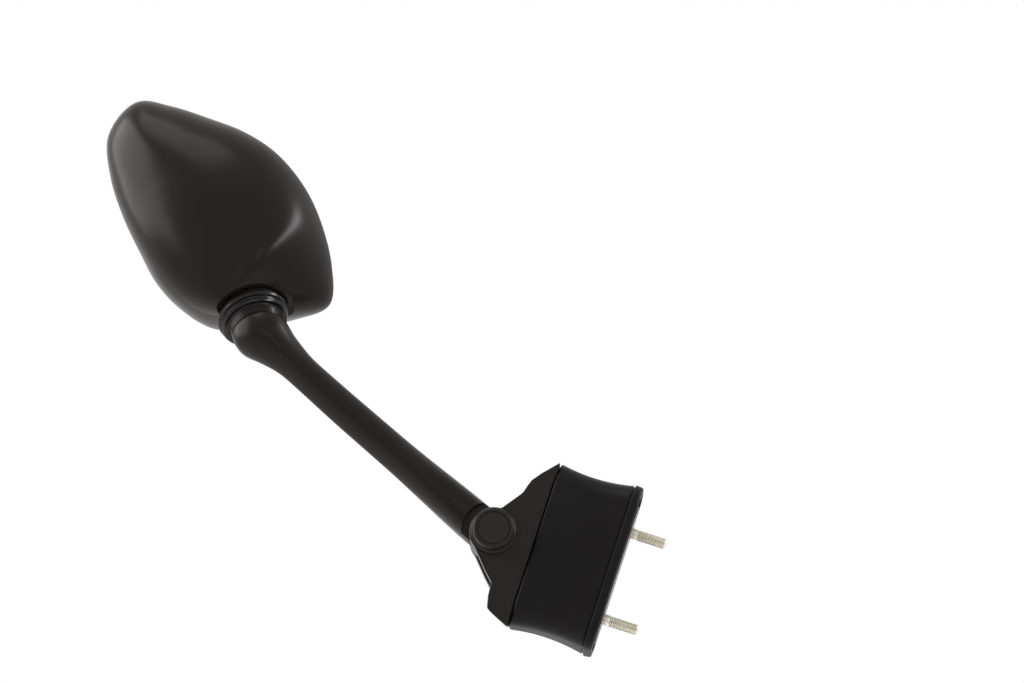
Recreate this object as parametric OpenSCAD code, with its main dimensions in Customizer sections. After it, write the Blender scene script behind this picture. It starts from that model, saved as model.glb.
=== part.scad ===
// Right-hand motorcycle mirror on a folding stem, fastened to the fairing by two studs.
// Origin at the middle of the seat on the fairing. +X inboard, +Y towards the rider, +Z up.

/* [Base] */
// Lean of the fairing seat from upright, degrees
seat_lean = 18; // [5:1:30]
// Height of the base bracket along the seat
bracket_h = 95; // [84:1:110]
// Width of the base bracket, front face to rear face
bracket_w = 36; // [34:1:44]
// Thickness of the bracket's plate below the ears
plate_t = 12; // [10:0.5:14]
// How far the bracket's underside rises from front to rear
plate_rise = 4; // [1:0.5:8]
// Distance from the seat to the seam under the bracket
boot_t = 48; // [36:1:60]
// Thickness of the foot plate on the seat
foot_t = 6; // [4:0.5:10]
// Width of the foot plate
foot_w = 30; // [26:1:34]
// Radius of the two legs inside the boot
leg_r = 9; // [7:0.5:12]
// Thickness of the web between the legs
web_t = 6; // [4:0.5:10]

/* [Studs] */
// Radius of the mounting studs
stud_r = 3; // [2.5:0.5:4]
// Distance between the two studs
stud_gap = 50; // [40:1:60]
// Length of stud that stands out of the seat
stud_out = 20; // [14:1:30]
// Length of stud held in the leg
stud_in = 14; // [8:1:24]
// Narrowing of the buried part of a stud
stud_step = 0.4; // [0.2:0.1:0.6]
// Depth of the recess round a stud
stud_recess = 1; // [0.5:0.5:2]

/* [Boot] */
// Wall of the rubber boot
boot_wall = 2.4; // [1.6:0.2:3.6]
// Half height of the boot at the bracket
boot_top_h = 47; // [45:0.2:50]
// How far the boot's flanks pull in between its ends
boot_waist = 2.2; // [0:0.2:5]
// Half height of the boot at the fairing
boot_foot_h = 47; // [45:0.2:52]
// Half width of the boot at the bracket
boot_top_w = 19.4; // [18:0.2:24]
// Half width of the boot at the fairing
boot_foot_w = 24; // [20:0.5:28]
// Height of the boot's middle above the bracket's
boot_lift = 1.6; // [0:0.2:2]
// Height of the lip along the fairing
boot_lip = 5; // [3:0.5:8]

/* [Pivot] */
// Distance from the seam to the fold pivot
pivot_out = 23; // [21:0.5:28]
// Radius of the ears' round ends
ear_r = 13.4; // [13:0.1:15]
// Thickness of the stem's tongue
tongue_t = 16; // [12:0.5:18]
// Gap for one friction washer
washer_gap = 1; // [0.6:0.1:1.6]
// Radius of the pivot bolt's shoulder
bolt_r = 5; // [4:0.5:6]
// Radius of the bolt's head
bolt_head_r = 8; // [7:0.5:8.5]
// Thickness of the bolt's head
bolt_head_t = 5; // [4:0.5:6]
// Wall of the bearing bush
bush_wall = 1.5; // [1:0.25:2.5]
// Radius of the cap's flange
cap_r = 12.6; // [12:0.2:13.4]
// Radius of the cap's barrel
cap_barrel_r = 11.3; // [10.8:0.1:11.8]
// Height of the cap
cap_h = 11; // [9.5:0.5:13]
// Width across the flats of the nut
nut_af = 13; // [12:0.5:14]
// Thickness of the nut
nut_t = 6; // [5:0.5:6.5]
// Thickness of one disc spring
disc_t = 0.9; // [0.6:0.1:1.2]

/* [Stem] */
// Reach of the ball outboard of the pivot
stem_reach = 135; // [110:1:160]
// Rise of the ball above the pivot
stem_rise = 131; // [110:1:150]
// Set-back of the ball towards the rider
stem_back = 12; // [6:1:18]
// Radius of the stem's flared cup
flare_r = 15.3; // [14.4:0.1:16.5]
// Distance from the ball to the rim of the flared cup
cup_drop = 20; // [18:0.5:21]
// Distance from the ball to the knee of the stem
knee_drop = 27; // [24:0.5:30]
// Inward bow of the stem at its knee
knee_bow = 2.4; // [0:0.2:3]
// Half width of the stem at its middle
stem_half_w = 9.6; // [8:0.2:11]
// Half depth of the stem at its middle
stem_half_d = 9; // [7:0.2:12]
// Half width of the stem at the pivot
root_half_w = 11.2; // [10:0.2:13]
// Half depth of the stem at the pivot
root_half_d = 15; // [11:0.5:17]
// Radius of the tongue's eye
eye_r = 13.4; // [12:0.1:14]
// Clearance of the stem's shoulder round the ears
shoulder_gap = 4.4; // [0.6:0.2:5]

/* [Neck] */
// Forward lean of the neck, degrees
neck_lean = 30; // [20:1:40]
// Sideways lean of the neck, degrees
neck_side = 18; // [8:1:26]
// Radius of the ball
ball_r = 11; // [10:0.25:12]
// Radius of the ball stud's shank
shank_r = 5; // [4:0.25:5.5]
// Length of shank held in the stem
shank_in = 10; // [7:0.5:11]
// Radius of the housing's round nose
nose_r = 19; // [18:0.25:20]
// Thickness of the dust boot under the collar
dust_t = 1.3; // [1:0.1:1.8]
// Thickness of the collar
collar_t = 2.2; // [1.6:0.1:3]
// Outer radius of the collar
collar_r = 15.5; // [14.5:0.1:16.2]
// Height of the dust boot's lower ridge
ridge = 2; // [1:0.1:2.4]
// Height of the dust boot's upper ridge
upper_ridge = 1.1; // [0.6:0.1:1.6]
// Gap between the pieces that slide over each other
slide_gap = 0.3; // [0.2:0.05:0.4]
// Clearance of the ball in its cups and of the pivot bolt in its bush
run_gap = 0.05; // [0.02:0.01:0.08]

/* [Head] */
// Turn of the glass inboard, degrees
head_yaw = 18; // [10:1:26]
// Tilt of the glass upward, degrees
head_pitch = 14; // [6:1:20]
// Width of the head
head_w = 126; // [118:1:138]
// Height of the head
head_h = 130; // [122:1:142]
// Distance from the ball to the plane of the rim
rim_back = 32; // [30:0.5:36]
// Distance from the ball to the front of the dome
dome_front = 22; // [18:0.5:24]
// Squareness of the dome, 1 for an ellipse and less for a fuller form
dome_square = 0.9; // [0.8:0.05:1]
// Wall of the housing
wall = 2.6; // [2:0.1:3.2]
// How far the glass lies below the rim
glass_sink = 2; // [1:0.5:3]
// Thickness of the glass
glass_t = 3; // [2:0.5:3.5]
// Gap round the edge of the glass
glass_gap = 0.8; // [0.3:0.1:1]
// Thickness of the foam pad
pad_t = 1.5; // [1:0.25:2]
// Thickness of the carrier plate
carrier_t = 2.5; // [2:0.25:3]
// Radius of a screw boss
boss_r = 4; // [3.5:0.25:5]
// Radius of a carrier screw
screw_r = 1.5; // [1.25:0.25:2]
// Length of a carrier screw
screw_l = 12; // [10:1:16]

/* [Hidden] */
$fn = 64;
fit = 0.05;
black = [0.12, 0.11, 0.11];
rubber = [0.09, 0.09, 0.1];
steel = [0.62, 0.63, 0.65];
zinc = [0.72, 0.7, 0.6];
nylon = [0.85, 0.84, 0.8];

// Places of the pivot and the ball
pivot_lx = -(boot_t + pivot_out);
pivot = [pivot_lx * cos(seat_lean), 0, -pivot_lx * sin(seat_lean)];
ball = pivot + [-stem_reach, stem_back, stem_rise];
neck_dir = [cos(neck_lean) * sin(neck_side), -sin(neck_lean), -cos(neck_lean) * cos(neck_side)];

// Stack across the pivot, front to rear
slot_w = tongue_t + 2 * washer_gap;
ear_out = bracket_w / 2;
washer_t = washer_gap - 2 * fit;
bush_r = bolt_r + run_gap + bush_wall;
thread_r = bolt_r - 1;
disc_rise = 0.2;
disc_h = 2 * (disc_t + disc_rise) + fit;

// Radii about the ball, from the nose outward
dust_in = nose_r + slide_gap;
dust_out = dust_in + dust_t;
collar_in = dust_out + slide_gap;
collar_out = collar_in + collar_t;
cup_r = collar_out + slide_gap;
socket_r = ball_r + 3.2;
tower_r = socket_r + 1.9;
socket_front = 8.4;
socket_back = 1;
press_front = 1.6;
press_back = 8;
lock_front = 10;
lock_back = 12.5;

// Depths of the layers behind the rim, measured from the ball
glass_front_y = rim_back - glass_sink;
pad_y = glass_front_y - glass_t;
carrier_y = pad_y - pad_t;
boss_y = carrier_y - carrier_t;
boss_at = [[-0.492 * head_w, 0.615 * head_h], [-0.365 * head_w, 0.231 * head_h],
    [0.08 * head_w, 0.4 * head_h]];
glass_inset = wall + glass_gap;
carrier_inset = glass_inset + 1.6;

// Rim outline as shares of the head's width and height, clockwise from the top corner
rim_shape = [[-0.545, 0.894], [-0.384, 0.866], [-0.212, 0.803], [-0.045, 0.73], [0.097, 0.627],
    [0.21, 0.479], [0.276, 0.316], [0.307, 0.134], [0.283, -0.025], [0.122, -0.077],
    [-0.058, -0.1], [-0.233, -0.098], [-0.375, -0.009], [-0.488, 0.118], [-0.562, 0.275],
    [-0.63, 0.434], [-0.676, 0.604], [-0.673, 0.773]];
rim_steps = 4;
dome_levels = [0, 8, 17, 27, 37, 47, 57, 67, 76, 84, 89];
dome_peak = [-0.0635 * head_w, 0.0923 * head_h];
soft_reach = 7;
soft_rate = 1.6;

// Curves

// Point on a smooth curve between b and c
function curve(a, b, c, d, t) = 0.5 * (2 * b + (c - a) * t
    + (2 * a - 5 * b + 4 * c - d) * t * t + (3 * b - a - 3 * c + d) * t * t * t);
// Closed smooth curve through the points p
function loop_curve(p, steps) = let (n = len(p)) [for (i = [0:n - 1], k = [0:steps - 1])
    curve(p[(i + n - 1) % n], p[i], p[(i + 1) % n], p[(i + 2) % n], k / steps)];
// Closed clockwise outline moved inward by d
function inset(p, d) = let (n = len(p)) [for (i = [0:n - 1])
    let (t = p[(i + 1) % n] - p[(i + n - 1) % n]) p[i] + d * [t.y, -t.x] / norm(t)];
// Points of an arc from angle a to angle b
function arc(r, a, b, steps = 8, c = [0, 0]) =
    [for (i = [0:steps]) let (w = a + (b - a) * i / steps) c + r * [cos(w), sin(w)]];

rim = loop_curve([for (p = rim_shape) [p.x * head_w, p.y * head_h]], rim_steps);

// Solid skinned over rings of points, closed at its ends or joined end to end
module skin(rings, joined = false) {
    n = len(rings[0]);
    m = len(rings);
    points = [for (r = rings) each r];
    spans = joined ? m : m - 1;
    sides = [for (i = [0:spans - 1], j = [0:n - 1])
        let (a = i * n + j, b = i * n + (j + 1) % n)
        let (c = ((i + 1) % m) * n + j, d = ((i + 1) % m) * n + (j + 1) % n)
        each [[a, b, d], [a, d, c]]];
    caps = joined ? [] : [[for (j = [n - 1:-1:0]) j], [for (j = [0:n - 1]) (m - 1) * n + j]];
    polyhedron(points, concat(sides, caps), 6);
}

// Frames

// Seat frame: x towards the fairing, z up along the seat
module seat_frame() {
    rotate([0, seat_lean, 0]) children();
}
// Pivot frame: z along the fold axis towards the rider
module pivot_frame() {
    translate(pivot) rotate([-90, 0, 0]) children();
}
// Neck frame: origin at the ball, z up the neck into the head
module neck_frame() {
    translate(ball) rotate([-neck_lean, -neck_side, 0]) children();
}
// Head frame: origin at the ball, y square to the glass towards the rider
module head_frame() {
    translate(ball) rotate([0, 0, -head_yaw]) rotate([head_pitch, 0, 0]) children();
}
// Plate that lies between the depths y0 and y1 of the head frame
module head_plate(outline, y0, y1) {
    head_frame() translate([0, y1, 0]) rotate([90, 0, 0]) linear_extrude(y1 - y0)
        polygon(outline);
}

// Base

// Side profile of the bracket in the seat frame's x and z
module bracket_profile() {
    top = bracket_h / 2;
    polygon([[0, -top], [-10, -top + 4], [-13.5, -top + 6.5], [-plate_t - 3, -top + 13],
        [-plate_t - 3.6, -27], [-pivot_out + 2, -ear_r - 8.2], [-pivot_out - 7.4, -ear_r + 2.2],
        [-pivot_out, ear_r - 0.2], [-plate_t - 3, 24], [-plate_t - 1, 29.5], [-plate_t, 33],
        [-plate_t + 4.5, top - 8], [0, top]]);
    translate([-pivot_out, 0]) circle(ear_r);
}
// Room under the bracket, its upper face along the front edge and rising towards the rear
module bracket_under() {
    translate([-boot_t, -bracket_w / 2, -bracket_h / 2]) rotate([0, 36, 0])
        rotate([atan(plate_rise / bracket_w), 0, 0])
        translate([-pivot_out - ear_r, -1, -ear_r]) cube([2 * pivot_out + ear_r, bracket_w + 4, ear_r]);
}
module bracket_slot() {
    translate([-pivot_out, 0]) circle(eye_r + 1.6);
    translate([-pivot_out - 20, -34]) square([20 + eye_r + 1.6, 66]);
}
module base_bracket() color(black) seat_frame() difference() {
    union() {
        difference() {
            translate([-boot_t, bracket_w / 2, 0]) rotate([90, 0, 0]) linear_extrude(bracket_w)
                bracket_profile();
            bracket_under();
        }
        for (side = [-1, 1]) translate([-boot_t, 0, side * stud_gap / 2]) rotate([0, 90, 0])
            cylinder(r = leg_r, h = boot_t);
        translate([-boot_t, -web_t / 2, -stud_gap / 2]) cube([boot_t, web_t, stud_gap]);
        translate([-foot_t, 0, 0]) rotate([0, 90, 0]) linear_extrude(foot_t) foot_outline();
    }
    translate([-boot_t, slot_w / 2, 0]) rotate([90, 0, 0]) linear_extrude(slot_w)
        bracket_slot();
    translate([pivot_lx, 0, 0]) rotate([90, 0, 0])
        cylinder(r = bolt_r + fit, h = 2 * bracket_w, center = true);
    for (side = [-1, 1]) translate([-stud_in, 0, side * stud_gap / 2]) rotate([0, 90, 0]) {
        cylinder(r = stud_r - stud_step + fit, h = stud_in + 1);
        translate([0, 0, stud_in - stud_recess]) cylinder(r = stud_r + 0.6, h = stud_recess + 1);
    }
}
module foot_outline() {
    for (side = [-1, 1]) translate([side * stud_gap / 2, 0]) circle(foot_w / 2);
    square([stud_gap, foot_w], center = true);
}
module mounting_studs() color(zinc) seat_frame() {
    for (side = [-1, 1]) translate([0, 0, side * stud_gap / 2]) rotate([0, 90, 0]) {
        translate([0, 0, -stud_in + fit]) cylinder(r = stud_r - stud_step, h = stud_in);
        cylinder(r = stud_r, h = stud_out - 0.6);
        translate([0, 0, stud_out - 0.6]) cylinder(r1 = stud_r, r2 = stud_r - 0.6, h = 0.6);
    }
}

// Ring of the boot: a rounded rectangle in the seat frame at distance x
function boot_ring(x, hw, hh, corner) = [for (q = [0:3], k = [0:5])
    let (w = q * 90 + k * 18, c = min(corner, hw - 0.5))
    let (sx = (q == 0 || q == 3) ? 1 : -1, sz = (q < 2) ? 1 : -1)
    [x, sx * (hw - c) + c * cos(w), sz * (hh - c) + c * sin(w) + boot_lift]];
function boot_rings(d) = [for (i = [0:8]) let (u = i / 8, bow = 4 * u * (1 - u))
    boot_ring(-boot_t + 0.3 + (boot_t - boot_lip - 0.3) * u,
        boot_top_w + (boot_foot_w - boot_top_w) * u * u - d,
        boot_top_h + (boot_foot_h - boot_top_h) * u - boot_waist * bow - d, 13 - d)];
module boot() color(rubber) seat_frame() {
    lip = boot_ring(-boot_lip, boot_foot_w + 0.4, boot_foot_h + 0.4, 13.4);
    foot = boot_ring(-0.4, boot_foot_w, boot_foot_h, 13);
    foot_in = boot_ring(-0.4, boot_foot_w - boot_wall, boot_foot_h - boot_wall, 13 - boot_wall);
    inner = boot_rings(boot_wall);
    skin(concat(boot_rings(0), [lip, foot, foot_in], [for (i = [8:-1:0]) inner[i]]), true);
}

// Pivot

module pivot_bolt() color(steel) pivot_frame() {
    translate([0, 0, -ear_out - bolt_head_t]) difference() {
        cylinder(r = bolt_head_r, h = bolt_head_t);
        translate([0, 0, -1]) cylinder(r = 3.4, h = 3.6, $fn = 6);
    }
    translate([0, 0, -ear_out]) cylinder(r = bolt_r, h = 2 * ear_out);
    translate([0, 0, ear_out]) cylinder(r = thread_r, h = disc_h + nut_t + 0.8);
}
module pivot_nut() color(zinc) pivot_frame() translate([0, 0, ear_out + disc_h]) difference() {
    cylinder(d = nut_af / cos(30), h = nut_t, $fn = 6);
    translate([0, 0, -1]) cylinder(r = thread_r + fit, h = nut_t + 2);
}
// Cone ring of a disc spring, standing on z = 0
module disc_spring(r_in, r_out, t, rise) {
    rotate_extrude() polygon([[r_in, rise], [r_out, 0], [r_out, t], [r_in, rise + t]]);
}
module disc_springs() color(steel) pivot_frame() translate([0, 0, ear_out]) {
    disc_spring(thread_r + 0.2, bolt_head_r, disc_t, disc_rise);
    translate([0, 0, disc_h]) mirror([0, 0, 1])
        disc_spring(thread_r + 0.2, bolt_head_r, disc_t, disc_rise);
}
module friction_washers() color(nylon) pivot_frame() {
    for (side = [-1, 1]) translate([0, 0, side * (tongue_t + washer_gap) / 2 - washer_t / 2])
        difference() {
        cylinder(r = eye_r - 0.6, h = washer_t);
        translate([0, 0, -1]) cylinder(r = bolt_r + fit, h = washer_t + 2);
    }
}
// Cap over the bolt, open side on z = 0 and face at z = cap_h
module pivot_cap() {
    groove = 2.2;
    rotate_extrude() polygon(concat([[cap_barrel_r - 2, 0], [cap_r, 0], [cap_r, 1.6],
        [cap_r - 0.6, 2.2], [cap_barrel_r, 2.6]],
        arc(1.6, 0, 90, 6, [cap_barrel_r - 1.6, cap_h - 1.6]),
        [[cap_barrel_r - groove, cap_h], [cap_barrel_r - groove - 0.1, cap_h - 0.7],
        [cap_barrel_r - groove - 0.5, cap_h - 0.7], [cap_barrel_r - groove - 0.7, cap_h],
        [0, cap_h], [0, cap_h - 1.8], [cap_barrel_r - 2, cap_h - 1.8]]));
}
module pivot_cap_front() color(black) pivot_frame() translate([0, 0, -ear_out])
    mirror([0, 0, 1]) pivot_cap();
module pivot_cap_rear() color(black) pivot_frame() translate([0, 0, ear_out]) pivot_cap();

// Stem

// Line of the stem: round the flare, then straight to the pivot
stem_knee = ball + knee_drop * neck_dir;
stem_start = ball + cup_drop * neck_dir;
stem_run = pivot - stem_knee;
bend = 0.17;
stem_end = 1 - 6 / norm(stem_run);
stem_line = concat(
    [for (i = [0:6]) let (t = i / 6) (1 - t) * (1 - t) * stem_start
        + 2 * t * (1 - t) * stem_knee + t * t * (stem_knee + bend * stem_run)],
    [for (i = [1:9]) stem_knee + (bend + (stem_end - bend) * i / 9) * stem_run]);
stem_last = len(stem_line) - 1;
// Half width, half depth, squareness and sideways bow of the section, by station
function blend(a, b, share) = a * share + b * (1 - share);
function stem_w(i) = i <= 11
    ? blend(flare_r, stem_half_w, lookup(i, [[0, 1], [1, 1], [2, 0.93], [3, 0.62], [4, 0.29],
        [5, 0.02], [6, -0.12], [8, -0.05], [11, 0]]))
    : blend(root_half_w, stem_half_w, lookup(i, [[11, 0], [stem_last - 1, 1], [stem_last, 1]]));
function stem_d(i) = i <= 10
    ? blend(flare_r, stem_half_d, lookup(i, [[0, 1], [1, 1], [2, 0.93], [4, 0.45], [6, 0]]))
    : blend(root_half_d, stem_half_d, lookup(i, [[10, 0], [stem_last - 1, 1], [stem_last, 1]]));
function stem_power(i) = lookup(i, [[0, 1], [2, 1], [5, 1.3], [11, 1.3], [13, 0.9],
    [stem_last, 0.7]]);
function stem_bow(i) = knee_bow * lookup(i, [[0, 0.25], [2, 0.45], [3, 0.8], [5, 1], [6, 0.65],
    [8, 0.25], [11, 0], [stem_last, -0.3]]);
function unit(v) = v / norm(v);
function bent(v, p) = sign(v) * pow(abs(v), p);
function stem_ring(i) =
    let (a = stem_line[max(i - 1, 0)], b = stem_line[min(i + 1, stem_last)])
    let (along = i == 0 ? neck_dir : unit(b - a))
    let (depth = unit([0, 1, 0] - (along * [0, 1, 0]) * along), side = cross(along, depth))
    [for (k = [0:31]) let (w = k * 360 / 32)
        stem_line[i] + (stem_w(i) * bent(cos(w), stem_power(i)) + stem_bow(i)) * side
            + stem_d(i) * bent(sin(w), stem_power(i)) * depth];
module stem() color(black) difference() {
    union() {
        difference() {
            skin([for (i = [0:stem_last]) stem_ring(i)]);
            for (side = [0, 1]) pivot_frame() mirror([0, 0, side])
                translate([0, 0, tongue_t / 2]) cylinder(r = ear_r + shoulder_gap, h = 30);
        }
        pivot_frame() cylinder(r = eye_r, h = tongue_t, center = true);
    }
    pivot_frame() cylinder(r = bush_r + fit, h = tongue_t + 1, center = true);
    translate(ball) sphere(cup_r, $fn = 96);
    neck_frame() translate([0, 0, -cup_r - shank_in - 1])
        cylinder(r = shank_r - 0.5 + fit, h = shank_in + 16);
}
module pivot_bush() color(nylon) pivot_frame() difference() {
    cylinder(r = bush_r, h = tongue_t, center = true);
    cylinder(r = bolt_r + run_gap, h = tongue_t + 1, center = true);
}
module ball_stud() color(steel) neck_frame() {
    sphere(ball_r);
    shoulder = sqrt(cup_r * cup_r - shank_r * shank_r) - fit;
    translate([0, 0, -shoulder]) cylinder(r = shank_r, h = shoulder - ball_r + 3);
    translate([0, 0, -cup_r - shank_in]) cylinder(r = shank_r - 0.5, h = shank_in + 1);
}

// Neck

module neck_collar() color(black) neck_frame() rotate_extrude() {
    hole = shank_r + 5.5;
    rim_in = -acos(collar_r / collar_in);
    rim_out = -acos((collar_r - 1.2) / collar_out);
    polygon(concat(arc(collar_in, -acos(hole / collar_in), rim_in, 10),
        arc(collar_out, rim_out, -acos(hole / collar_out), 10)));
}
module dust_boot() color(rubber) neck_frame() rotate_extrude() {
    polygon(concat(arc(dust_in, -54, -23, 16), arc(dust_out + upper_ridge, -23, -26, 2),
        arc(dust_out, -29, -31, 2), arc(dust_out + ridge, -34, -37, 3),
        arc(dust_out, -40, -54, 8)));
}

// Head

// Outline with its corners rounded, each point the mean of its neighbours
function soften(p) = let (n = len(p), k = soft_reach) [for (i = [0:n - 1])
    total([for (j = [-k:k]) p[(i + j + n) % n]]) / (2 * k + 1)];
function total(p) = [for (q = p) 1] * p;
// Rings of the dome from the rim to its front, rounder towards the front
function dome_rings(outline, front) = let (soft = soften(outline)) [for (a = dome_levels)
    let (s = pow(cos(a), dome_square), f = 1 - s, m = min(1, soft_rate * f))
    [for (i = [0:len(outline) - 1])
        let (p = (1 - m) * outline[i] + m * soft[i])
        [p.x * s + dome_peak.x * f, rim_back - (rim_back + front) * sin(a),
            p.y * s + dome_peak.y * f]]];
module dome_solid() head_frame() skin(dome_rings(inset(rim, wall / 2), dome_front - wall / 2));
module dome_shell() head_frame() {
    inner = dome_rings(inset(rim, wall), dome_front - wall);
    last = len(dome_levels) - 1;
    skin(concat([for (i = [last:-1:0]) inner[i]], dome_rings(rim, dome_front)));
}
module housing_bosses() head_frame() for (p = boss_at)
    translate([p.x, boss_y, p.y]) rotate([90, 0, 0]) cylinder(r = boss_r, h = rim_back + dome_front);
// Room for the dust boot as the head swings
module ring_room() neck_frame() rotate_extrude()
    polygon(concat(arc(nose_r, -70, -13, 8), arc(dust_out + ridge + 2, -13, -70, 8)));
module housing() color(black) difference() {
    union() {
        difference() {
            dome_shell();
            ring_room();
        }
        intersection() {
            housing_bosses();
            dome_solid();
        }
        neck_frame() {
            intersection() {
                sphere(nose_r, $fn = 96);
                translate([0, 0, -nose_r]) cylinder(r = nose_r, h = nose_r + 4);
            }
            cylinder(r = tower_r, h = lock_back);
        }
    }
    neck_frame() {
        translate([0, 0, -socket_front - fit]) cylinder(r = socket_r + fit, h = 60);
        translate([0, 0, -30]) cylinder(r = shank_r + 7, h = 31);
    }
    head_frame() for (p = boss_at) translate([p.x, boss_y + 1, p.y]) rotate([90, 0, 0])
        cylinder(r = screw_r + fit, h = screw_l);
}
module socket_cup() color(nylon) neck_frame() difference() {
    translate([0, 0, -socket_front]) cylinder(r = socket_r, h = socket_front + socket_back);
    sphere(ball_r + run_gap);
    translate([0, 0, -20]) cylinder(r = ball_r - 1.8, h = 20);
}
module pressure_cup() color(nylon) neck_frame() difference() {
    translate([0, 0, press_front]) cylinder(r = socket_r - 0.2, h = press_back - press_front);
    sphere(ball_r + run_gap);
    translate([0, 0, press_back - 2]) cylinder(r = ball_r - 2.8, h = 10);
}
module socket_springs() color(steel) neck_frame() translate([0, 0, press_back])
    disc_spring(ball_r - 2, socket_r - 1, 0.9, 1);
module lock_ring() color(zinc) neck_frame() difference() {
    translate([0, 0, lock_front]) cylinder(r = socket_r, h = lock_back - lock_front);
    cylinder(r = ball_r - 2, h = lock_back + 1);
    for (a = [0:90:270]) rotate(a) translate([socket_r - 3, -1.25, lock_back - 1.2])
        cube([4, 2.5, 3]);
}
module glass_carrier() color(black) difference() {
    head_plate(inset(rim, carrier_inset), boss_y, carrier_y);
    head_frame() for (p = boss_at) translate([p.x, carrier_y + 1, p.y]) rotate([90, 0, 0]) {
        cylinder(r = screw_r + 0.15, h = carrier_t + 2);
        cylinder(r = screw_r + 1.7, h = 2.5);
    }
}
module carrier_screws() color(steel) head_frame() for (p = boss_at)
    translate([p.x, carrier_y - 1.5, p.y]) rotate([90, 0, 0]) {
    cylinder(r = screw_r, h = screw_l - 3);
    translate([0, 0, -1.4]) cylinder(r = screw_r + 1.4, h = 1.4);
}
module glass_pad() color(rubber) head_plate(inset(rim, glass_inset + 3), carrier_y, pad_y);
module mirror_glass() color("silver") head_plate(inset(rim, glass_inset), pad_y, glass_front_y);

base_bracket();
boot();
mounting_studs();
pivot_bolt();
pivot_nut();
disc_springs();
friction_washers();
pivot_cap_front();
pivot_cap_rear();
stem();
pivot_bush();
ball_stud();
neck_collar();
dust_boot();
housing();
socket_cup();
pressure_cup();
socket_springs();
lock_ring();
glass_carrier();
carrier_screws();
glass_pad();
mirror_glass();
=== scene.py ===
import math

import bmesh
import bpy
from mathutils import Matrix, Quaternion, Vector


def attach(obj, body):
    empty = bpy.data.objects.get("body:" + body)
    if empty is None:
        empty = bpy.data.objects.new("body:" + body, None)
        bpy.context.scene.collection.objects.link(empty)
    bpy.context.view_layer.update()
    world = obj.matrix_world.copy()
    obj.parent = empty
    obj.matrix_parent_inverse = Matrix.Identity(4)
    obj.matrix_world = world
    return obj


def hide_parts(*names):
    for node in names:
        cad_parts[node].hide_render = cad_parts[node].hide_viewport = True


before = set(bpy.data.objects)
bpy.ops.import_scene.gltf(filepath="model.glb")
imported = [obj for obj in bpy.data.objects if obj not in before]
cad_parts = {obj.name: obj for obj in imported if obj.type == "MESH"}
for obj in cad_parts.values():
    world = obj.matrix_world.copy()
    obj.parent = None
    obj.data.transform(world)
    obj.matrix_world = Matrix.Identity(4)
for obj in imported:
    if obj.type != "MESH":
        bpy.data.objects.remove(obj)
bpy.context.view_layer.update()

# Sizes in metres and angles in radians, the same as those of the solids
MM = 0.001
SEAT_LEAN = math.radians(18)
BRACKET_H = 95 * MM
BRACKET_W = 36 * MM
BOOT_T = 48 * MM
PIVOT_OUT = 23 * MM
EAR_R = 13.4 * MM
EYE_R = 13.4 * MM
TONGUE_T = 16 * MM
SLOT_W = 18 * MM
SHOULDER_GAP = 4.4 * MM
STEM_TO_BALL = Vector((-135, 12, 131)) * MM
NECK_LEAN = math.radians(30)
NECK_SIDE = math.radians(18)
HEAD_YAW = math.radians(18)
HEAD_PITCH = math.radians(14)
HEAD_W = 126 * MM
HEAD_H = 130 * MM
RIM_BACK = 32 * MM
DOME_FRONT = 22 * MM
WALL = 2.6 * MM
NOSE_R = 19 * MM

# Turns that lay the z axis along x and y, and places in the frame
ALONG_X = Matrix.Rotation(math.radians(90), 4, "Y")
ALONG_Y = Matrix.Rotation(math.radians(-90), 4, "X")
PIVOT = Vector((-math.cos(SEAT_LEAN), 0, math.sin(SEAT_LEAN))) * (BOOT_T + PIVOT_OUT)
BALL = PIVOT + STEM_TO_BALL
SEAT = Matrix.Rotation(SEAT_LEAN, 4, "Y")
SEAM = SEAT @ Matrix.Translation((-BOOT_T, 0, 0))
PIVOT_AT = Matrix.Translation(PIVOT) @ ALONG_Y
NECK = (Matrix.Translation(BALL) @ Matrix.Rotation(-NECK_SIDE, 4, "Y")
        @ Matrix.Rotation(-NECK_LEAN, 4, "X"))
HEAD = (Matrix.Translation(BALL) @ Matrix.Rotation(-HEAD_YAW, 4, "Z")
        @ Matrix.Rotation(HEAD_PITCH, 4, "X"))
NECK_DIR = -(NECK.to_3x3() @ Vector((0, 0, 1)))


# Meshes

TURN_STEPS = 96
WELD = 1e-6


def mesh_object(name, verts, faces, place=None, weld=False):
    """Object in the scene from points and faces, with its faces turned outward."""
    mesh = bpy.data.meshes.new(name)
    mesh.from_pydata([tuple(v) for v in verts], [], faces)
    if place is not None:
        mesh.transform(place)
    bm = bmesh.new()
    bm.from_mesh(mesh)
    if weld:
        bmesh.ops.remove_doubles(bm, verts=bm.verts, dist=WELD)
    bmesh.ops.recalc_face_normals(bm, faces=bm.faces)
    bm.to_mesh(mesh)
    bm.free()
    obj = bpy.data.objects.new(name, mesh)
    bpy.context.scene.collection.objects.link(obj)
    return obj


def new_piece(name, body, verts, faces, material, place=None):
    """Smooth piece from points and faces that rides on a body."""
    piece = mesh_object(name, verts, faces, place, True)
    piece.data.materials.append(material)
    shade_smooth(piece)
    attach(piece, body)
    return piece


def shade_smooth(piece):
    piece.data.polygons.foreach_set("use_smooth", [True] * len(piece.data.polygons))


def sharpen(piece, angle):
    """Marks the edges sharper than an angle in degrees."""
    piece.data.set_sharp_from_angle(angle=math.radians(angle))


def ring_faces(rings, closed=False, caps=True):
    """Faces over rings of equal length, closed at the ends or joined end to end."""
    n, m = len(rings[0]), len(rings)
    faces = []
    for i in range(m if closed else m - 1):
        for j in range(n):
            k, up = (j + 1) % n, (i + 1) % m
            faces.append((i * n + j, i * n + k, up * n + k, up * n + j))
    if caps and not closed:
        faces.append(tuple(range(n))[::-1])
        faces.append(tuple((m - 1) * n + j for j in range(n)))
    return faces


def joined(rings):
    """The points of all the rings in one list."""
    return [p for ring in rings for p in ring]


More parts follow.
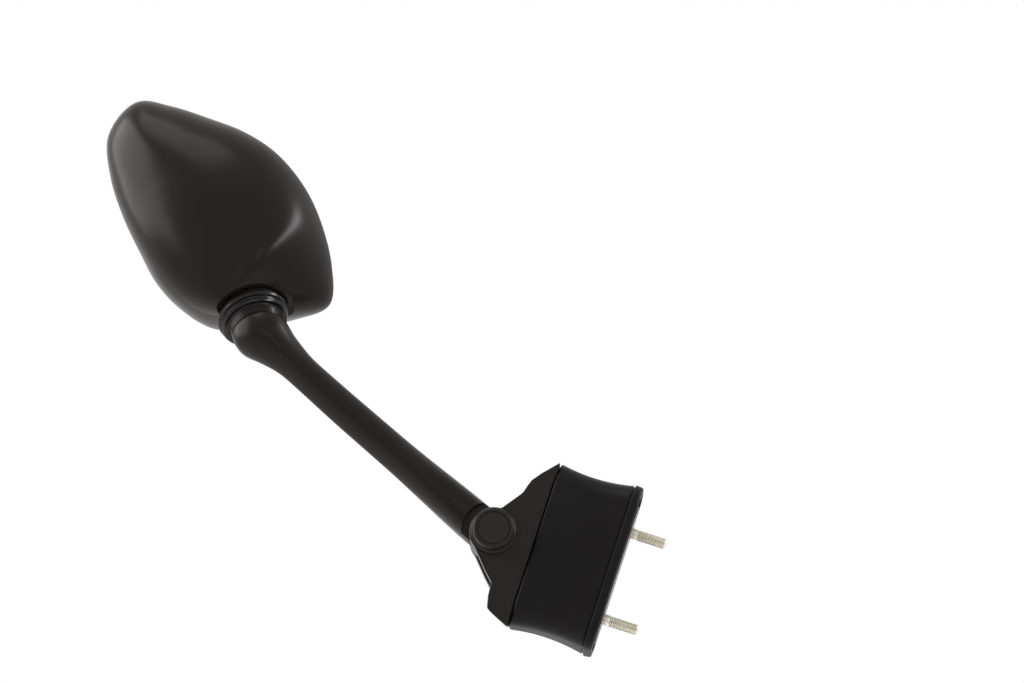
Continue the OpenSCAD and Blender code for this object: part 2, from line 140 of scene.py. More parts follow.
def circle(radius, z, steps=TURN_STEPS):
    """Ring of points about z."""
    turns = [2 * math.pi * k / steps for k in range(steps)]
    return [(radius * math.cos(w), radius * math.sin(w), z) for w in turns]


def prism(outline, y0, y1):
    """Rings of a prism between the depths y0 and y1, from (x, z) points."""
    return [[(x, y, z) for x, z in outline] for y in (y0, y1)]


def arc(radius, start, end, steps, centre=(0.0, 0.0)):
    """Points of an arc, angles in degrees."""
    return [(centre[0] + radius * math.cos(math.radians(start + (end - start) * i / steps)),
             centre[1] + radius * math.sin(math.radians(start + (end - start) * i / steps)))
            for i in range(steps + 1)]


def loft(name, body, rings, material, place=None, closed=False):
    """Piece skinned over rings of points."""
    return new_piece(name, body, joined(rings), ring_faces(rings, closed), material, place)


def lathe(name, body, profile, material, place, steps=TURN_STEPS, closed=True):
    """Piece turned about z from a profile of (radius, height) points."""
    rings = [circle(r, z, steps) for r, z in profile]
    return new_piece(name, body, joined(rings), ring_faces(rings, closed, False), material, place)


def ring_tool(rings, place):
    """Solid over rings of points, to cut with."""
    return mesh_object("tool", joined(rings), ring_faces(rings), place)


def turned_tool(profile, place):
    """Solid turned about z from a profile of (radius, height) points, to cut with."""
    return ring_tool([circle(r, z) for r, z in profile], place)


def cylinder_tool(radius, z0, z1, place):
    """Cylinder along z from z0 to z1, to cut with."""
    return turned_tool([(radius, z0), (radius, z1)], place)


def box_tool(x0, x1, y0, y1, z0, z1, place):
    """Box between two corners, to cut with."""
    return ring_tool(prism([(x0, z0), (x1, z0), (x1, z1), (x0, z1)], y0, y1), place)


def apply_modifiers(piece):
    """Turns the result of a piece's modifiers into its mesh."""
    graph = bpy.context.evaluated_depsgraph_get()
    mesh = bpy.data.meshes.new_from_object(piece.evaluated_get(graph))
    old = piece.data
    piece.modifiers.clear()
    piece.data = mesh
    bpy.data.meshes.remove(old)
    mesh.name = piece.name


def cut(piece, *tools):
    """Takes the tools' shapes out of a piece and deletes them."""
    for tool in tools:
        mod = piece.modifiers.new("cut", "BOOLEAN")
        mod.operation = "DIFFERENCE"
        mod.solver = "EXACT"
        mod.object = tool
    apply_modifiers(piece)
    for tool in tools:
        bpy.data.objects.remove(tool)


def bevel(piece, width, angle):
    """Rounds the edges sharper than an angle and shades the piece smooth between them."""
    mod = piece.modifiers.new("bevel", "BEVEL")
    mod.width = width
    mod.segments = 3
    mod.limit_method = "ANGLE"
    mod.angle_limit = math.radians(angle)
    mod.miter_outer = "MITER_ARC"
    mod.harden_normals = True
    apply_modifiers(piece)
    shade_smooth(piece)
    sharpen(piece, angle)
    mod = piece.modifiers.new("flats", "WEIGHTED_NORMAL")
    mod.keep_sharp = True
    apply_modifiers(piece)


# Materials

def nodes_of(name):
    """New material with its node tree, its shader and the coordinates of its object."""
    mat = bpy.data.materials.new(name)
    mat.use_nodes = True
    tree = mat.node_tree
    where = tree.nodes.new("ShaderNodeTexCoord")
    return mat, tree, tree.nodes["Principled BSDF"], where.outputs["Object"]


def noise(tree, vector, scale, detail=3.0, rough=0.55):
    """Noise value at a place."""
    node = tree.nodes.new("ShaderNodeTexNoise")
    node.inputs["Scale"].default_value = scale
    node.inputs["Detail"].default_value = detail
    node.inputs["Roughness"].default_value = rough
    tree.links.new(vector, node.inputs["Vector"])
    return node.outputs["Fac"]


def spread(tree, value, low, high):
    """Maps the middle of a noise to the range from low to high."""
    node = tree.nodes.new("ShaderNodeMapRange")
    node.inputs["From Min"].default_value = 0.3
    node.inputs["From Max"].default_value = 0.7
    node.inputs["To Min"].default_value = low
    node.inputs["To Max"].default_value = high
    tree.links.new(value, node.inputs["Value"])
    return node.outputs["Result"]


def tint(tree, factor, first, second):
    """Mixes two colours by a factor."""
    node = tree.nodes.new("ShaderNodeMix")
    node.data_type = "RGBA"
    node.inputs["A"].default_value = (*first, 1)
    node.inputs["B"].default_value = (*second, 1)
    tree.links.new(factor, node.inputs["Factor"])
    return node.outputs["Result"]


def bump(tree, shader, height, strength, distance):
    """Roughens a shader's surface by a height value."""
    node = tree.nodes.new("ShaderNodeBump")
    node.inputs["Strength"].default_value = strength
    node.inputs["Distance"].default_value = distance
    tree.links.new(height, node.inputs["Height"])
    tree.links.new(node.outputs["Normal"], shader.inputs["Normal"])


def satin(name, dark, light, rough, grain_scale, grain_depth, specular=0.5):
    """Satin plastic, paint or rubber: faint mottling, fine grain and uneven gloss."""
    mat, tree, shader, where = nodes_of(name)
    shader.inputs["Specular IOR Level"].default_value = specular
    mottle = noise(tree, where, 60.0, 4.0)
    tree.links.new(tint(tree, mottle, dark, light), shader.inputs["Base Color"])
    gloss = noise(tree, where, 35.0)
    tree.links.new(spread(tree, gloss, rough - 0.03, rough + 0.04), shader.inputs["Roughness"])
    grain = noise(tree, where, grain_scale, 2.0, 0.6)
    bump(tree, shader, grain, 0.35, grain_depth)
    return mat


def metal(name, colour, rough, worn=None):
    """Bare or plated metal with fine scratches."""
    mat, tree, shader, where = nodes_of(name)
    shader.inputs["Metallic"].default_value = 1.0
    dull = tuple(c * 0.82 for c in colour)
    stain = noise(tree, where, 220.0, 5.0)
    tree.links.new(tint(tree, stain, dull, worn or colour), shader.inputs["Base Color"])
    gloss = noise(tree, where, 500.0)
    tree.links.new(spread(tree, gloss, rough - 0.05, rough + 0.08), shader.inputs["Roughness"])
    bump(tree, shader, noise(tree, where, 2500.0, 2.0), 0.15, 0.00005)
    return mat


def mirror_material():
    """Silvering under clear glass."""
    mat, tree, shader, where = nodes_of("mirror_silver")
    shader.inputs["Metallic"].default_value = 1.0
    shader.inputs["Coat Weight"].default_value = 1.0
    shader.inputs["Coat Roughness"].default_value = 0.01
    haze = noise(tree, where, 8.0)
    tree.links.new(tint(tree, haze, (0.80, 0.83, 0.85), (0.84, 0.86, 0.88)),
                   shader.inputs["Base Color"])
    tree.links.new(spread(tree, noise(tree, where, 20.0), 0.01, 0.025), shader.inputs["Roughness"])
    return mat


SHELL = satin("shell_black", dark=(0.0115, 0.0088, 0.0081), light=(0.0140, 0.0108, 0.0100),
              rough=0.25, grain_scale=2600.0, grain_depth=0.00006, specular=0.10)
CAST = satin("cast_black", dark=(0.0095, 0.0081, 0.0075), light=(0.0120, 0.0103, 0.0096),
             rough=0.27, grain_scale=1800.0, grain_depth=0.00005, specular=0.10)
CAP = satin("cap_black", dark=(0.0165, 0.0130, 0.0116), light=(0.0190, 0.0150, 0.0136),
            rough=0.34, grain_scale=2600.0, grain_depth=0.00005, specular=0.10)
RUBBER = satin("boot_rubber", dark=(0.0080, 0.0074, 0.0078), light=(0.0105, 0.0097, 0.0102),
               rough=0.38, grain_scale=1400.0, grain_depth=0.00008, specular=0.06)
BELLOWS = satin("bellows_rubber", dark=(0.0090, 0.0080, 0.0080), light=(0.0115, 0.0105, 0.0105),
                rough=0.22, grain_scale=1400.0, grain_depth=0.00004, specular=0.20)
STEEL = metal("bare_steel", colour=(0.56, 0.57, 0.58), rough=0.25)
ZINC = metal("zinc_steel", colour=(0.62, 0.59, 0.50), rough=0.32, worn=(0.66, 0.64, 0.56))
NYLON = satin("nylon", dark=(0.62, 0.60, 0.53), light=(0.68, 0.66, 0.60),
              rough=0.4, grain_scale=900.0, grain_depth=0.00006)
FOAM = satin("foam", dark=(0.02, 0.02, 0.02), light=(0.035, 0.035, 0.035),
             rough=0.85, grain_scale=700.0, grain_depth=0.0003)
MIRROR = mirror_material()

NODE_MATERIAL = {
    "base_bracket": CAST, "boot": RUBBER, "mounting_studs": ZINC, "pivot_bolt": STEEL,
    "pivot_nut": ZINC, "disc_springs": STEEL, "friction_washers": NYLON,
    "pivot_cap_front": CAP, "pivot_cap_rear": CAP, "stem": CAST, "pivot_bush": NYLON,
    "ball_stud": STEEL, "neck_collar": CAST, "dust_boot": BELLOWS, "housing": SHELL,
    "socket_cup": NYLON, "pressure_cup": NYLON, "socket_springs": STEEL, "lock_ring": ZINC,
    "glass_carrier": SHELL, "carrier_screws": ZINC, "glass_pad": FOAM, "mirror_glass": MIRROR,
}
for node_name, material in NODE_MATERIAL.items():
    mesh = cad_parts[node_name].data
    mesh.materials.clear()
    mesh.materials.append(material)


# Head

# Rim outline in shares of the head's width and height, clockwise from the outer top corner
RIM_SHAPE = [(-0.545, 0.894), (-0.384, 0.866), (-0.212, 0.803), (-0.045, 0.73), (0.097, 0.627),
             (0.21, 0.479), (0.276, 0.316), (0.307, 0.134), (0.283, -0.025), (0.122, -0.077),
             (-0.058, -0.1), (-0.233, -0.098), (-0.375, -0.009), (-0.488, 0.118), (-0.562, 0.275),
             (-0.63, 0.434), (-0.676, 0.604), (-0.673, 0.773)]
RIM_STEPS = 12
RIM_GROWTH = 0.35 * MM
RIM_ROUND = 0.7 * MM
RIM_ROUND_STEP = 0.2 * MM

DOME_PEAK = (-5 * MM, 7 * MM)
DOME_LEVELS = 44
DOME_END = 89.0
INNER_SKIP = 3
SOFT_RATE = 3.0
SOFT_SHARE = 7.0 / 72.0

# Power of the dome's section, and its change by the way from the peak in degrees
DOME_SQUARE = 0.9
RIDGE_WAY, RIDGE_SPREAD, RIDGE_DROP = 46, 17, 0.28
FLANK_WAY, FLANK_SPREAD, FLANK_RISE = -8, 30, 0.50

# Room round the ball in which the dust boot turns, its top in degrees
ROOM_R = 24.6 * MM
ROOM_TOP = -13
ROOM_AXIS_R = 0.01 * MM

NOSE_HOLE_R = 12 * MM
SOCKET_R = 14.3 * MM
SOCKET_TOP = 4 * MM
SOCKET_FLOOR = -8.5 * MM


def loop_curve(points, steps):
    """Closed smooth curve through the points."""
    n, out = len(points), []
    for i in range(n):
        a, b, c, d = (Vector(points[(i + k) % n]) for k in (-1, 0, 1, 2))
        for k in range(steps):
            t = k / steps
            out.append(0.5 * (2 * b + (c - a) * t + (2 * a - 5 * b + 4 * c - d) * t * t
                              + (3 * b - a - 3 * c + d) * t * t * t))
    return out


def inset(points, distance):
    """Closed clockwise outline moved inward."""
    n, out = len(points), []
    for i in range(n):
        t = (points[(i + 1) % n] - points[i - 1]).normalized()
        out.append(points[i] + distance * Vector((t.y, -t.x)))
    return out


def soften(points):
    """Outline with each point the mean of its neighbours."""
    n = len(points)
    k = round(n * SOFT_SHARE)
    return [sum((points[(i + j) % n] for j in range(-k, k + 1)), Vector((0, 0))) / (2 * k + 1)
            for i in range(n)]


RIM = inset(loop_curve([(x * HEAD_W, z * HEAD_H) for x, z in RIM_SHAPE], RIM_STEPS), -RIM_GROWTH)


def fullness(point):
    """Power of the dome's section towards a rim point: a full ridge, a flat flank beside it."""
    way = math.degrees(math.atan2(point.y - DOME_PEAK[1], point.x - DOME_PEAK[0]))
    ridge = math.exp(-((way - RIDGE_WAY) / RIDGE_SPREAD) ** 2)
    flank = math.exp(-((way - FLANK_WAY) / FLANK_SPREAD) ** 2)
    return DOME_SQUARE - RIDGE_DROP * ridge + FLANK_RISE * flank


def dome_ring(outline, soft, front, angle):
    """Ring of the dome at an angle from the rim (0) to the front (90 degrees)."""
    y = RIM_BACK - (RIM_BACK + front) * math.sin(angle)
    ring = []
    for a, b in zip(outline, soft):
        s = max(math.cos(angle), 0) ** fullness(b)
        f = 1 - s
        m = min(1, SOFT_RATE * f)
        p = a * (1 - m) + b * m
        ring.append((p.x * s + DOME_PEAK[0] * f, y, p.y * s + DOME_PEAK[1] * f))
    return ring


def housing_shell():
    """Dome with a wall of its own and a rounded rim."""
    inner = inset(RIM, WALL)
    soft_outer, soft_inner = soften(RIM), soften(inner)
    angles = [math.radians(DOME_END * i / DOME_LEVELS) for i in range(1, DOME_LEVELS + 1)]
    rings = [dome_ring(inner, soft_inner, DOME_FRONT - WALL, a)
             for a in reversed(angles[::INNER_SKIP])]
    for share, depth in ((WALL, RIM_ROUND), (WALL - RIM_ROUND_STEP, RIM_ROUND_STEP),
                         (WALL - RIM_ROUND, 0), (RIM_ROUND, 0),
                         (RIM_ROUND_STEP, RIM_ROUND_STEP), (0, RIM_ROUND)):
        rings.append([(p.x, RIM_BACK - depth, p.y) for p in inset(RIM, share)])
    rings += [dome_ring(RIM, soft_outer, DOME_FRONT, a) for a in angles]
    piece = loft("housing_shell", "head", rings, SHELL, HEAD)
    room = [(ROOM_AXIS_R, -ROOM_R)] + arc(ROOM_R, -89, ROOM_TOP, 24) + [(ROOM_AXIS_R, 0)]
    cut(piece, turned_tool(room, NECK))
    sharpen(piece, 40)
    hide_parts("housing")


def housing_nose():
    """Round nose of the housing that the dust boot slides over."""
    start = math.degrees(math.acos(NOSE_HOLE_R / NOSE_R))
    profile = arc(NOSE_R, -start, 12, 24)
    profile += [(SOCKET_R, SOCKET_TOP), (SOCKET_R, SOCKET_FLOOR), (NOSE_HOLE_R, SOCKET_FLOOR)]
    piece = lathe("housing_nose", "head", profile, SHELL, NECK)
    sharpen(piece, 40)
    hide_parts("housing")


housing_shell()
housing_nose()


# Stem

KNEE = BALL + 27 * MM * NECK_DIR
START = BALL + 20 * MM * NECK_DIR
RUN = PIVOT - KNEE
RUN_SHORT = 6 * MM
BEND = 0.17
BEND_AT = 6
LAST = 15
STATIONS_PER_STEP = 6
BLEND_REACH = 0.9
BLEND_STEPS = 6

# Values at stations along the stem: half width, half depth, sideways bow and corner power
STEM_WIDE = [(0, 15.3), (1, 15.3), (2, 14.9), (3, 13.13), (4, 11.25), (5, 9.71), (6, 8.92),
             (8, 9.32), (11, 9.6), (LAST - 1, 11.2), (LAST, 11.2)]
STEM_DEEP = [(0, 15.3), (1, 15.3), (2, 14.86), (4, 11.84), (6, 9), (10, 9), (LAST - 1, 15),
             (LAST, 15)]
STEM_BOW = [(0, 0.6), (2, 1.1), (3, 1.9), (5, 2.4), (6, 1.56), (8, 0.6), (11, 0), (LAST, -0.72)]
STEM_POWER = [(0, 1.0), (2, 1.0), (5, 1.3), (11, 1.3), (13, 0.9), (LAST, 0.7)]

SLAB_REACH = 30 * MM
STEM_EDGE = 0.5 * MM
EYE_HOLE_R = 6.6 * MM
EYE_EDGE = 0.6 * MM


def lookup(at, table):
    """Value at a station, read from a table of (station, value) pairs."""
    at = min(max(at, table[0][0]), table[-1][0])
    for (a, va), (b, vb) in zip(table, table[1:]):
        if at <= b:
            return va + (vb - va) * (at - a) / (b - a)
    return table[-1][1]


def between(at, table):
    """Value at a station, blended over the table's values beside it."""
    weights = [(k / BLEND_STEPS, 1 - abs(k) / (BLEND_STEPS + 1))
               for k in range(-BLEND_STEPS, BLEND_STEPS + 1)]
    total = sum(w for _, w in weights)
    return sum(w * lookup(at + BLEND_REACH * k, table) for k, w in weights) / total


def stem_point(at):
    """Point of the stem's line: a bend behind the neck, then straight to the pivot."""
    if at <= BEND_AT:
        t = at / BEND_AT
        return (1 - t) ** 2 * START + 2 * t * (1 - t) * KNEE + t * t * (KNEE + BEND * RUN)
    end = 1 - RUN_SHORT / RUN.length
    return KNEE + (BEND + (end - BEND) * (at - BEND_AT) / (LAST - BEND_AT)) * RUN


def bent(v, power):
    """Power of a value that keeps its sign."""
    return math.copysign(abs(v) ** power, v)


def stem_ring(at):
    """Ring of the stem's skin at a station."""
    a, b = stem_point(max(at - 0.5, 0)), stem_point(min(at + 0.5, LAST))
    along = NECK_DIR if at == 0 else (b - a).normalized()
    depth = (Vector((0, 1, 0)) - along.y * along).normalized()
    side = along.cross(depth)
    wide, deep = MM * between(at, STEM_WIDE), MM * between(at, STEM_DEEP)
    power, bow = between(at, STEM_POWER), between(at, STEM_BOW) * MM
    ring = []
    for k in range(TURN_STEPS):
        w = 2 * math.pi * k / TURN_STEPS
        ring.append(stem_point(at) + (wide * bent(math.cos(w), power) + bow) * side
                    + deep * bent(math.sin(w), power) * depth)
    return ring


def stem_arm():
    """Cast arm: flared cup, creased shaft and shouldered root."""
    count = LAST * STATIONS_PER_STEP
    rings = [stem_ring(LAST * i / count) for i in range(count + 1)]
    arm = loft("stem_arm", "stem", rings, CAST)
    reach = EAR_R + SHOULDER_GAP
    cut(arm, cylinder_tool(reach, TONGUE_T / 2, SLAB_REACH, PIVOT_AT),
        cylinder_tool(reach, -SLAB_REACH, -TONGUE_T / 2, PIVOT_AT))
    bevel(arm, STEM_EDGE, 50)
    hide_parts("stem")


def stem_tongue():
    """Eye of the arm that turns on the pivot bolt."""
    half, r, hole, edge = TONGUE_T / 2, EYE_R, EYE_HOLE_R, EYE_EDGE
    profile = [(hole, -half), (r - edge, -half), (r, -half + edge), (r, half - edge),
               (r - edge, half), (hole, half)]
    eye = lathe("stem_tongue", "stem", profile, CAST, PIVOT_AT)
    sharpen(eye, 30)
    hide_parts("stem")


stem_arm()
stem_tongue()


# Base

STUD_GAP = 50 * MM
LEG_R = 9 * MM
LEG_FLARE = 1.6 * MM
LEG_STRAIGHT = 2 * MM
FOOT_T = 6 * MM
FOOT_R = 15 * MM
FOOT_EDGE = 0.5 * MM
STUD_HOLE_R = 3.6 * MM
WEB_T = 6 * MM
WEB_LAP = 1 * MM
SINK = 0.4 * MM
PLATE_RISE = 5 * MM
PLATE_EDGE = 1.1 * MM
UNDER_TILT = math.radians(26)
UNDER_DROP = 0.8 * MM
SLOT_ROOM = 1.6 * MM
PIVOT_HOLE_R = 5.05 * MM


def on_stud(base, side):
    """Place on the axis of the low (-1) or high (1) stud, with z along the stud."""
    return base @ Matrix.Translation((0, 0, side * STUD_GAP / 2)) @ ALONG_X


def bracket_outline():
    """Side view of the bracket, x from the seam and z along it, in metres."""
    top, out, r = BRACKET_H / MM / 2, PIVOT_OUT / MM, EAR_R / MM
    points = [(0, -top), (-10, -top + 4), (-13.5, -top + 6.5), (-15, -top + 13), (-15.6, -27),
              (-out + 2, -r - 8.2)]
    points += [(x - out, z) for x, z in arc(r, 237, 90, 40)]
    points += [(-15.3, 24), (-14.2, 26), (-13.3, 29.5), (-12, 33.3), (-7.8, top - 8.6), (0, top)]
    return [(x * MM, z * MM) for x, z in points]


def bracket_plate():
    """Plate with two ears and a slanted underside, its edges rounded."""
    half, slot = BRACKET_W / 2, SLOT_W / 2
    plate = loft("bracket_plate", "base", prism(bracket_outline(), -half, half), CAST, SEAM)
    eye = Matrix.Translation((-PIVOT_OUT, 0, 0)) @ ALONG_Y
    under = (SEAM @ Matrix.Translation((0, -half, -BRACKET_H / 2 - UNDER_DROP))
             @ Matrix.Rotation(UNDER_TILT, 4, "Y")
             @ Matrix.Rotation(math.atan2(PLATE_RISE, BRACKET_W), 4, "X"))
    cut(plate, box_tool(-60 * MM, 60 * MM, -5 * MM, 45 * MM, -20 * MM, 0, under),
        box_tool(-PIVOT_OUT - 20 * MM, -PIVOT_OUT + (EYE_R + SLOT_ROOM), -slot, slot,
                 -34 * MM, 32 * MM, SEAM),
        cylinder_tool(PIVOT_HOLE_R, -25 * MM, 25 * MM, SEAM @ eye))
    bevel(plate, PLATE_EDGE, 32)
    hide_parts("base_bracket")


def bracket_foot():
    """Rounded foot at the seat, with a hole for each stud."""
    rings = []
    for x in (-FOOT_T, -FOOT_T + FOOT_EDGE, -FOOT_EDGE, 0):
        r = FOOT_R - (FOOT_EDGE if x in (-FOOT_T, 0) else 0)
        ring = arc(r, 0, 180, 24, (0, STUD_GAP / 2)) + arc(r, 180, 360, 24, (0, -STUD_GAP / 2))
        rings.append([(x, y, z) for y, z in ring])
    foot = loft("bracket_foot", "base", rings, CAST, SEAT)
    cut(foot, *[cylinder_tool(STUD_HOLE_R, -1 * MM, 5 * MM, on_stud(SEAT, s)) for s in (-1, 1)])
    sharpen(foot, 30)
    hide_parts("base_bracket")


def bracket_legs():
    """Two legs and the web between them, from the plate to the foot."""
    end = BOOT_T - FOOT_T + SINK
    profile = [(LEG_R, -SINK), (LEG_R, LEG_STRAIGHT), (LEG_R, end - LEG_STRAIGHT),
               (LEG_R + LEG_FLARE, end)]
    for name, side in (("bracket_leg_low", -1), ("bracket_leg_high", 1)):
        leg = lathe(name, "base", profile, CAST, on_stud(SEAM, side), 64, False)
        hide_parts("base_bracket")
    w, z = WEB_T / 2, STUD_GAP / 2 - LEG_R + WEB_LAP
    outline = [(-SINK, -z), (end, -z), (end, z), (-SINK, z)]
    web = loft("bracket_web", "base", prism(outline, -w, w), CAST, SEAM)
    sharpen(web, 30)
    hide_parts("base_bracket")


# Half width and half height of the boot at its two ends
BOOT_TOP = (19.4 * MM, 47 * MM)
BOOT_FOOT = (24 * MM, 47 * MM)
BOOT_WAIST = 2.2 * MM
BOOT_LIFT = 1.6 * MM
BOOT_LIP = 5 * MM
BOOT_CORNER = 13 * MM
CORNER_STEPS = 14

# Wall of the boot in mm: distance from the seat and inset, from the seam to the lip and back
BOOT_OUTER = ([(-47.7, 1.4), (-47.4, 0.6), (-46.8, 0.15), (-46.0, 0)]
              + [(-46 + 39.6 * i / 22, 0) for i in range(1, 23)]
              + [(-6.1, 0.05), (-5.8, 0.5), (-5.5, 0.75), (-5.2, 0.5), (-4.9, -0.1), (-4.5, -0.4),
                 (-3.8, -0.45), (-2.2, -0.3), (-1.0, -0.1), (-0.55, 0.2), (-0.4, 0.7)])
BOOT_INNER = [(-0.4, 2.4)] + [(-2 - 44 * i / 16, 2.4) for i in range(17)] + [(-47.7, 2.4)]


def boot_ring(x, inset_by):
    """Ring of the boot's wall at a distance x from the seat."""
    u = min(max((x + BOOT_T) / (BOOT_T - BOOT_LIP), 0), 1)
    bow = 4 * u * (1 - u)
    hw = BOOT_TOP[0] + (BOOT_FOOT[0] - BOOT_TOP[0]) * u * u - inset_by
    hh = BOOT_TOP[1] + (BOOT_FOOT[1] - BOOT_TOP[1]) * u - BOOT_WAIST * bow - inset_by
    c = min(BOOT_CORNER, hw - 0.5 * MM)
    ring = []
    for q in range(4):
        sx, sz = (1 if q in (0, 3) else -1), (1 if q < 2 else -1)
        for k in range(CORNER_STEPS + 1):
            w = math.radians(q * 90 + k * 90 / CORNER_STEPS)
            ring.append((x, sx * (hw - c) + c * math.cos(w),
                         sz * (hh - c) + c * math.sin(w) + BOOT_LIFT))
    return ring


def boot():
    """Rubber boot with a rounded seam edge, a groove and a lip at the fairing."""
    rings = [boot_ring(x * MM, d * MM) for x, d in BOOT_OUTER + BOOT_INNER]
    piece = loft("boot_skin", "base", rings, RUBBER, SEAT, True)
    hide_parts("boot")


STUD_R = 3 * MM
STUD_ROOT_R = 2.5 * MM
STUD_END_R = 2.6 * MM
STUD_IN = 3 * MM
STUD_OUT = 20 * MM
STUD_PLAIN = 3 * MM
THREAD_PITCH = 1.0 * MM
THREAD_STEPS = 48
THREAD_END = 1.2 * MM

# One turn of thread: shares of the pitch and radii
THREAD = [(0.0, STUD_R), (0.12, STUD_R), (0.5, STUD_ROOT_R), (0.62, STUD_ROOT_R), (0.999, STUD_R)]


def studs():
    """Two studs with rolled threads."""
    turns = int((STUD_OUT - STUD_PLAIN) / THREAD_PITCH) - 1
    line = [(0.0, STUD_R), (STUD_PLAIN, STUD_R)]
    line += [(STUD_PLAIN + (n + u) * THREAD_PITCH, v) for n in range(turns) for u, v in THREAD]
    line += [(STUD_OUT - 0.6 * MM, STUD_ROOT_R + 0.2 * MM), (STUD_OUT, STUD_ROOT_R - 0.2 * MM)]
    rings = [circle(STUD_END_R, -STUD_IN, THREAD_STEPS)]
    for x, r in line:
        rise = THREAD_PITCH if STUD_PLAIN < x < STUD_OUT - THREAD_END else 0
        rings.append([(px, py, min(x + rise * k / THREAD_STEPS, STUD_OUT))
                      for k, (px, py, _) in enumerate(circle(r, x, THREAD_STEPS))])
    for name, side in (("stud_low", -1), ("stud_high", 1)):
        piece = loft(name, "base", rings, ZINC, on_stud(SEAT, side))
        sharpen(piece, 32)
        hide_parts("mounting_studs")


bracket_plate()
bracket_foot()
bracket_legs()
boot()
studs()


# Glass

GLASS_SINK = 2 * MM
GLASS_T = 3 * MM
GLASS_INSET = 3.4 * MM
GLASS_EDGE = 0.7 * MM
GLASS_EDGE_STEP = 0.15 * MM
GLASS_CROWN = 1.5 * MM
CROWN_RINGS = 24


def glass():
    """Convex glass with rounded edges, silvered behind."""
    middle = sum(RIM, Vector((0, 0))) / len(RIM)
    edge = inset(RIM, GLASS_INSET)
    front = RIM_BACK - GLASS_SINK

    def ring(share, y):
        return [(middle.x + (p.x - middle.x) * share, y, middle.y + (p.y - middle.y) * share)
                for p in edge]

    rings = [ring(share, front - GLASS_T) for share in (0.02, 0.4, 0.8, 1.0)]
    rings.append([(p.x, front - GLASS_EDGE, p.y) for p in edge])
    rings.append(ring(0.994, front - GLASS_EDGE_STEP))
    for i in range(CROWN_RINGS + 1):
        share = 0.985 * (1 - i / CROWN_RINGS) + 0.01
        rings.append(ring(share, front + GLASS_CROWN * (1 - share * share)))
    piece = loft("glass_convex", "head", rings, MIRROR, HEAD)
    sharpen(piece, 40)
    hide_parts("mirror_glass")


glass()


# Stage, light and camera

FLOOR_Z = -0.95
FLOOR_HALF = 6.0
FLOOR_GLOW = 0.62
AMBIENT = 0.15
LIT_POINT = Vector((-0.15, 0, 0.15))
WARM, LESS_WARM, WHITE = (1.0, 0.94, 0.92), (1.0, 0.95, 0.93), (1, 1, 1)

# Name, azimuth and height in degrees, distance, two sides, power, colour and roll in degrees
LIGHTS = [
    ("key", -88, 20, 2.0, 2.3, 1.9, 80, WARM, 0),
    ("top", -42, 72, 2.0, 1.3, 1.1, 16, LESS_WARM, 0),
    ("fill", 10, 8, 2.0, 0.9, 0.7, 2.5, WHITE, 0),
    ("strip", 76, 22, 1.9, 2.1, 0.3, 34, WHITE, 34),
]


def seen_at(azimuth, height, distance):
    """Offset in a direction: azimuth from the front towards the right, in degrees."""
    a, h = math.radians(azimuth), math.radians(height)
    return Vector((math.sin(a) * math.cos(h), -math.cos(a) * math.cos(h), math.sin(h))) * distance


def area_light(name, azimuth, height, distance, size, size_y, power, colour, roll):
    """Lamp that looks at the lit point."""
    light = bpy.data.lights.new(name, "AREA")
    light.shape = "RECTANGLE"
    light.size, light.size_y = size, size_y
    light.energy = power
    light.color = colour
    lamp = bpy.data.objects.new(name, light)
    bpy.context.scene.collection.objects.link(lamp)
    lamp.location = LIT_POINT + seen_at(azimuth, height, distance)
    aim = (LIT_POINT - lamp.location).to_track_quat("-Z", "Y")
    lamp.rotation_euler = (aim @ Quaternion((0, 0, 1), math.radians(roll))).to_euler()


def background_rays(tree):
    """One for the rays that see the background: camera, glossy and transmission rays."""
    rays = tree.nodes.new("ShaderNodeLightPath")
    value = rays.outputs["Is Camera Ray"]
    for other in ("Is Glossy Ray", "Is Transmission Ray"):
        either = tree.nodes.new("ShaderNodeMath")
        either.operation = "MAXIMUM"
        tree.links.new(value, either.inputs[0])
        tree.links.new(rays.outputs[other], either.inputs[1])
        value = either.outputs[0]
    return value


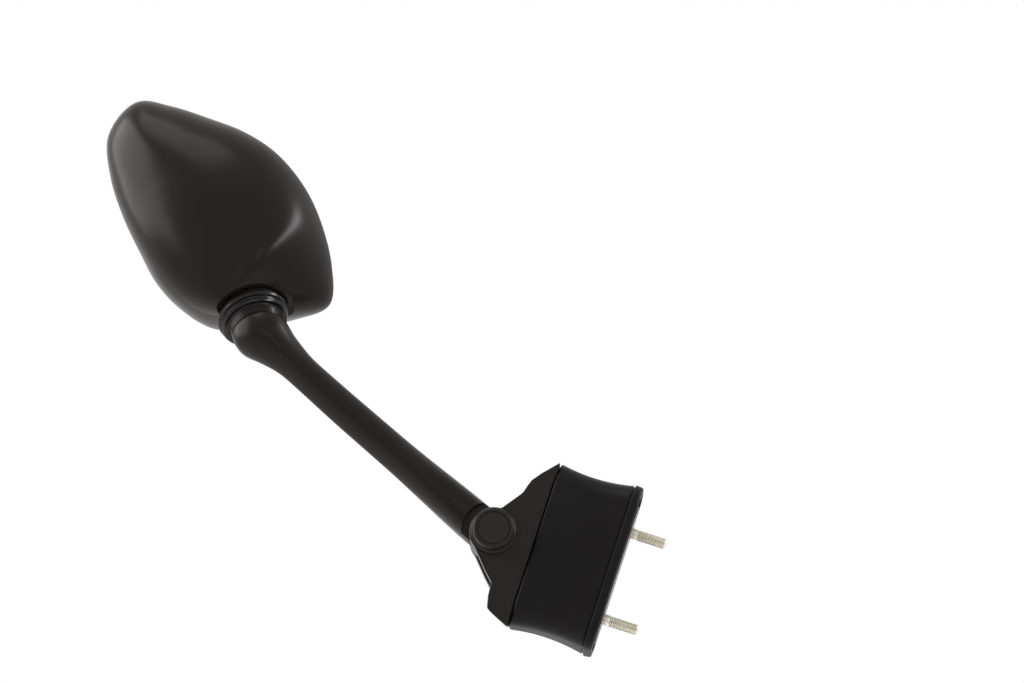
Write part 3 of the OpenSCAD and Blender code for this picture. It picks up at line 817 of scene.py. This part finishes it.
def white_world():
    """World that is white to look at and lights the object weakly."""
    world = bpy.data.worlds.new("studio")
    bpy.context.scene.world = world
    world.use_nodes = True
    tree = world.node_tree
    back = tree.nodes["Background"]
    back.inputs["Color"].default_value = (1, 1, 1, 1)
    level = tree.nodes.new("ShaderNodeMapRange")
    level.inputs["To Min"].default_value = AMBIENT
    level.inputs["To Max"].default_value = 1.0
    tree.links.new(background_rays(tree), level.inputs["Value"])
    tree.links.new(level.outputs["Result"], back.inputs["Strength"])


def floor():
    """Pale floor that keeps the object's shadow."""
    mat, tree, shader, where = nodes_of("floor_pale")
    tree.links.new(tint(tree, noise(tree, where, 3.0), (0.86, 0.86, 0.86), (0.88, 0.88, 0.88)),
                   shader.inputs["Base Color"])
    shader.inputs["Roughness"].default_value = 0.9
    shader.inputs["Emission Color"].default_value = (1, 1, 1, 1)
    glow = tree.nodes.new("ShaderNodeMapRange")
    glow.inputs["To Max"].default_value = FLOOR_GLOW
    tree.links.new(background_rays(tree), glow.inputs["Value"])
    tree.links.new(glow.outputs["Result"], shader.inputs["Emission Strength"])
    mesh = bpy.data.meshes.new("floor")
    corners = [(-1, -1), (1, -1), (1, 1), (-1, 1)]
    mesh.from_pydata([(x * FLOOR_HALF, y * FLOOR_HALF, FLOOR_Z) for x, y in corners], [],
                     [(0, 1, 2, 3)])
    obj = bpy.data.objects.new("floor", mesh)
    bpy.context.scene.collection.objects.link(obj)
    mesh.materials.append(mat)


IMAGE_W = 1024
MM_PER_PIXEL = 0.55
CAMERA_DISTANCE = 4.0
CAMERA_RISE = math.radians(11)
SENSOR = 36.0
TARGET = Vector((-57.5, 0, 130.6)) * MM


def camera():
    """Camera in front of the mirror and a little below it, looking up."""
    data = bpy.data.cameras.new("camera")
    data.sensor_width = SENSOR
    data.lens = SENSOR * CAMERA_DISTANCE / (IMAGE_W * MM_PER_PIXEL * MM)
    data.clip_start, data.clip_end = 0.05, 50
    cam = bpy.data.objects.new("camera", data)
    bpy.context.scene.collection.objects.link(cam)
    look = Vector((0, math.cos(CAMERA_RISE), math.sin(CAMERA_RISE)))
    cam.location = TARGET - CAMERA_DISTANCE * look
    cam.rotation_euler = look.to_track_quat("-Z", "Y").to_euler()
    bpy.context.scene.camera = cam


floor()
white_world()
for light in LIGHTS:
    area_light(*light)
camera()
bpy.context.scene.view_settings.view_transform = "Standard"
